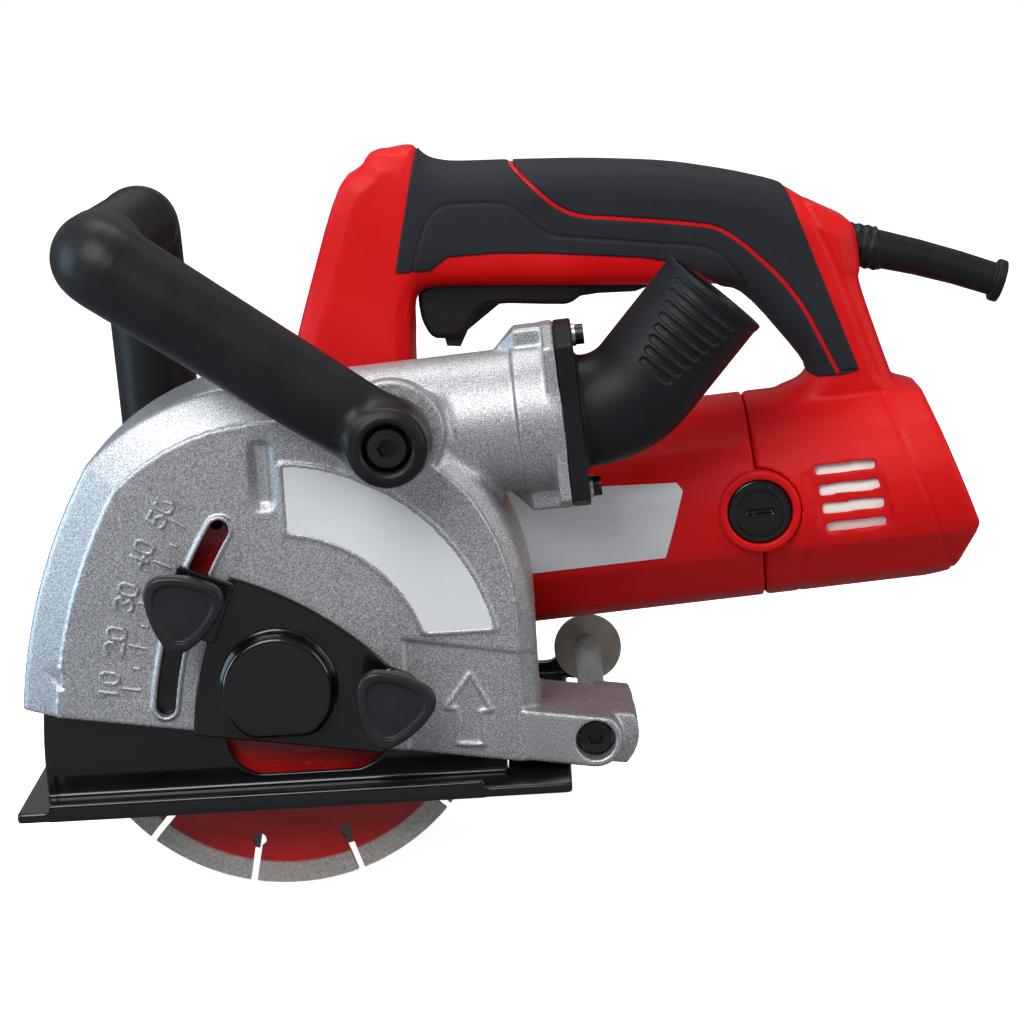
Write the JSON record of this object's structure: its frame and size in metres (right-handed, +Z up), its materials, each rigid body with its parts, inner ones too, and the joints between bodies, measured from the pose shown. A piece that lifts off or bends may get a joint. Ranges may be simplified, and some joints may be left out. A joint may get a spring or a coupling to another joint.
{
  "type": "wall chaser",
  "caption": "Handheld wall chaser: twin segmented diamond discs in a cast guard that tilts on a sliding shoe, with an offset motor, D rear handle, front bow handle and dust elbow.",
  "frame": {"origin": "on the flat underside of the sole, directly below the disc spindle at rest, midway between the two discs", "axes": "+X towards the motor end and the cable, +Y towards the motor side, +Z up from the sole; the spindle lies along Y"},
  "size_m": [0.3667, 0.1899, 0.2553],
  "materials": {
    "cast_silver": "speckled silver paint on a casting",
    "red_plastic": "fine textured",
    "grip_rubber": "soft matt",
    "black_plastic": "satin",
    "black_gloss": "glossy black paint",
    "black_rubber": "satin",
    "black_steel": "black oxide",
    "zinc_steel": "zinc plated",
    "steel": "machined",
    "disc_paint": "red paint with worn streaks",
    "label": "printed foil",
    "copper": "enamelled copper winding",
    "brass": "plain",
    "carbon": "graphite",
    "ivory_plastic": "plain"
  },
  "bodies": {
    "machine": {"blade_guard": "cast_silver", "guard_screws": "zinc_steel", "guard_label": "label", "service_cover": "black_gloss", "cover_screw": "zinc_steel", "gear_housing": "cast_silver", "gear_case_cover": "cast_silver", "gear_cover_screws": "black_steel", "spindle_bearings": "steel", "mid_bearings": "steel", "armature_bearings": "steel", "motor_housing": "red_plastic", "motor_screws": "zinc_steel", "field_coil": "copper", "air_baffle": "ivory_plastic", "motor_label": "label", "brush_holders": "brass", "carbon_brushes": "carbon", "brush_caps": "black_plastic", "handle_left": "red_plastic", "handle_right": "red_plastic", "front_pads": "grip_rubber", "rear_pads": "grip_rubber", "handle_screws": "black_steel", "switch_unit": "black_plastic", "trigger_spring": "steel", "strain_relief": "black_rubber", "cord_clamp": "black_plastic", "dust_elbow": "black_rubber", "elbow_screws": "black_steel", "elbow_washers": "zinc_steel", "front_handle": "black_plastic", "handle_bolts": "black_steel", "hinge_pin": "zinc_steel", "hinge_screw": "black_steel", "hinge_washer": "zinc_steel", "hinge_nut": "zinc_steel"},
    "shoe": {"base_shoe": "black_gloss", "depth_stud": "zinc_steel", "depth_pointer": "black_gloss"},
    "depth_clamp": {"depth_knob": "black_plastic"},
    "cover_clamp": {"cover_knob": "black_plastic"},
    "disc_spindle": {"spindle": "steel", "inner_flange": "black_steel", "far_disc": "disc_paint", "disc_spacer": "steel", "near_disc": "disc_paint", "outer_flange": "black_steel", "spindle_nut": "black_steel", "spindle_gear": "steel"},
    "intermediate": {"mid_shaft": "steel", "mid_gear": "steel", "bevel_wheel": "steel"},
    "armature": {"armature_shaft": "steel", "armature_core": "copper", "commutator": "copper", "cooling_fan": "black_plastic", "bevel_pinion": "steel"},
    "trigger_lever": {"trigger": "black_plastic"},
    "lock_off": {"lock_off_lever": "black_plastic"}
  },
  "joints": [
    {"name": "depth_adjust", "type": "hinge", "parent": "machine", "child": "shoe", "pos_m": [0.1095, 0, 0.0135], "axis": [0, 1, 0], "range_deg": [-15.1, 8.8]},
    {"name": "depth_clamp_turn", "type": "hinge", "parent": "shoe", "child": "depth_clamp", "pos_m": [-0.02947, 0, 0.07306], "axis": [0, 1, 0], "range_deg": [0, 300]},
    {"name": "cover_clamp_turn", "type": "hinge", "parent": "machine", "child": "cover_clamp", "pos_m": [0.0404, 0, 0.0347], "axis": [0, 1, 0], "range_deg": [0, 300]},
    {"name": "spindle_spin", "type": "hinge", "parent": "machine", "child": "disc_spindle", "pos_m": [0, 0, 0.04], "axis": [0, 1, 0], "continuous": true},
    {"name": "intermediate_spin", "type": "hinge", "parent": "machine", "child": "intermediate", "pos_m": [0, 0, 0.069], "axis": [0, 1, 0], "continuous": true},
    {"name": "armature_spin", "type": "hinge", "parent": "machine", "child": "armature", "pos_m": [0, 0.07, 0.069], "axis": [0.9981, 0, 0.061], "continuous": true},
    {"name": "trigger_pull", "type": "hinge", "parent": "machine", "child": "trigger_lever", "pos_m": [0.13437, 0.07, 0.16538], "axis": [0, 1, 0], "range_deg": [0, 4.5], "stiffness_Nm_per_rad": 1.2, "springref_deg": -6.88, "deforming": ["trigger_spring"]},
    {"name": "lock_off_swing", "type": "hinge", "parent": "trigger_lever", "child": "lock_off", "pos_m": [0.0844, 0.07, 0.16333], "axis": [0, 1, 0], "range_deg": [0, 10], "stiffness_Nm_per_rad": 0.05, "springref_deg": -17.19}
  ],
  "couplings": [
    {"joint": "intermediate_spin", "follows": "spindle_spin", "ratio": -1.0714},
    {"joint": "armature_spin", "follows": "spindle_spin", "ratio": -5.119}
  ]
}
